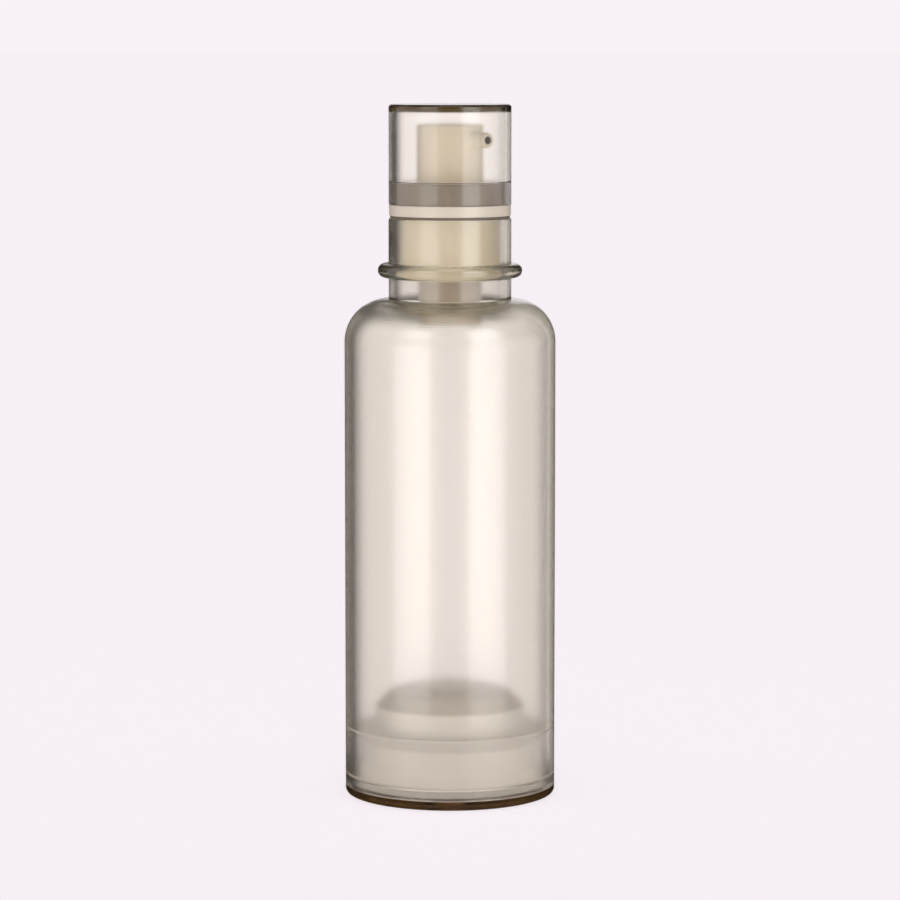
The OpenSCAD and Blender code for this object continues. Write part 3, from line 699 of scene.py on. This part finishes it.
# Each card has an angle, a distance from the axis, the level of its foot, a width, a height and
# whether it shows through the plastics. The one above has no distance and lies flat at its level
for name, degrees, distance, low, width, height, through in (
        ("dark_card_left", -120, 0.054, 0.0, 0.0250, 0.30, True),
        ("dark_card_right", 110, 0.058, 0.0, 0.0125, 0.30, True),
        ("dark_rim_left", -142, 0.058, 0.0, 0.028, 0.30, False),
        ("dark_rim_right", 138, 0.055, 0.0, 0.034, 0.30, False),
        ("dark_neck_left", -155, 0.040, 0.1035, 0.036, 0.0105, True),
        ("dark_neck_right", 72, 0.040, 0.098, 0.030, 0.016, True),
        ("dark_cap_left", -140, 0.0575, 0.1165, 0.015, 0.022, True),
        ("dark_card_above", 90, 0.0, 0.46, 0.76, 0.76, True),
        ("dark_card_front", 0, 1.00, 0.0, 0.80, 1.00, False)):
    bm = bmesh.new()
    bmesh.ops.create_grid(bm, x_segments=1, y_segments=1, size=0.5)
    bmesh.ops.scale(bm, vec=(width, height, 1), verts=bm.verts[:])
    place = round_object(degrees, distance, low + height / 2 + CARD_LIFT if distance else low)
    bmesh.ops.transform(bm, matrix=facing(place, UP * place.z if distance else Vector()),
                        verts=bm.verts[:])
    if distance < NEAR_CARD and low == 0.0:
        # A strip of the card lies on the floor, between its foot and the bottle
        foot = [edge for edge in bm.edges if max(v.co.z for v in edge.verts) < 2 * CARD_LIFT]
        lying = bmesh.ops.extrude_edge_only(bm, edges=foot)["geom"]
        bmesh.ops.translate(bm, vec=round_object(degrees, body_r * MM - distance, 0),
                            verts=[g for g in lying if isinstance(g, bmesh.types.BMVert)])
    black_card(name, bm, through)
# A painted shadow: a black disc on the floor under the bottle, seen only in the plastics' gloss
bm = bmesh.new()
bmesh.ops.create_circle(bm, cap_ends=True, segments=96, radius=UNDER_CARD_R)
bmesh.ops.translate(bm, vec=UP * CARD_LIFT, verts=bm.verts[:])
black_card("dark_disc_under", bm, False)

# The lamps leave the floor alone, and the top light leaves the follower alone too
not_the_floor = bpy.data.collections.new("not_the_floor")
nor_the_follower = bpy.data.collections.new("nor_the_follower")
for lit, unlit in ((not_the_floor, (floor,)), (nor_the_follower, (floor, follower))):
    for thing in unlit:
        lit.objects.link(thing)
    for member in lit.collection_objects:
        member.light_linking.link_state = "EXCLUDE"
# Each lamp has an angle, a distance from the axis, a height, its own width and height, its watts and
# whether it lights what is inside the plastics
for name, degrees, distance, height, width, tall, power, inside in (
        ("strip_left_low", -39.5, 0.12, 0.05, 0.083, 0.10, 0.064, True),
        ("strip_right_low", 38.5, 0.12, 0.05, 0.083, 0.10, 0.071, True),
        ("strip_left_high", -40, 0.12, 0.15, 0.07, 0.10, 0.016, True),
        ("strip_right_high", 39, 0.12, 0.15, 0.07, 0.10, 0.060, False),
        ("strip_left_top", -40, 0.30, 0.27, 0.19, 0.14, 0.20, False),
        ("strip_right_top", 39, 0.30, 0.27, 0.19, 0.14, 0.20, False),
        ("back_light", 180, 0.30, 0.135, 0.20, 0.07, 0.007, True),
        ("top_light", 0, 0.3, 0.9, 0.6, 0.6, 5.0, True)):
    lamp = bpy.data.lights.new(name, "AREA")
    lamp.shape, lamp.size, lamp.size_y, lamp.energy = "RECTANGLE", width, tall, power
    light = bpy.data.objects.new(name, lamp)
    scene.collection.objects.link(light)
    light.matrix_world = facing(round_object(degrees, distance, height),
                                UP * min(height, HIGHEST_AIM))
    light.visible_camera = False
    light.visible_diffuse = name == "top_light"
    light.visible_transmission = inside
    light.light_linking.receiver_collection = (
        nor_the_follower if light.visible_diffuse else not_the_floor)

camera_data = bpy.data.cameras.new("camera")
camera_data.lens = camera_lens
camera = bpy.data.objects.new("camera", camera_data)
scene.collection.objects.link(camera)
camera_place = camera_distance * toward_camera + camera_height * UP
sight = -toward_camera * math.cos(camera_pitch) - UP * math.sin(camera_pitch)
camera.matrix_world = facing(camera_place, camera_place + sight)
scene.camera = camera
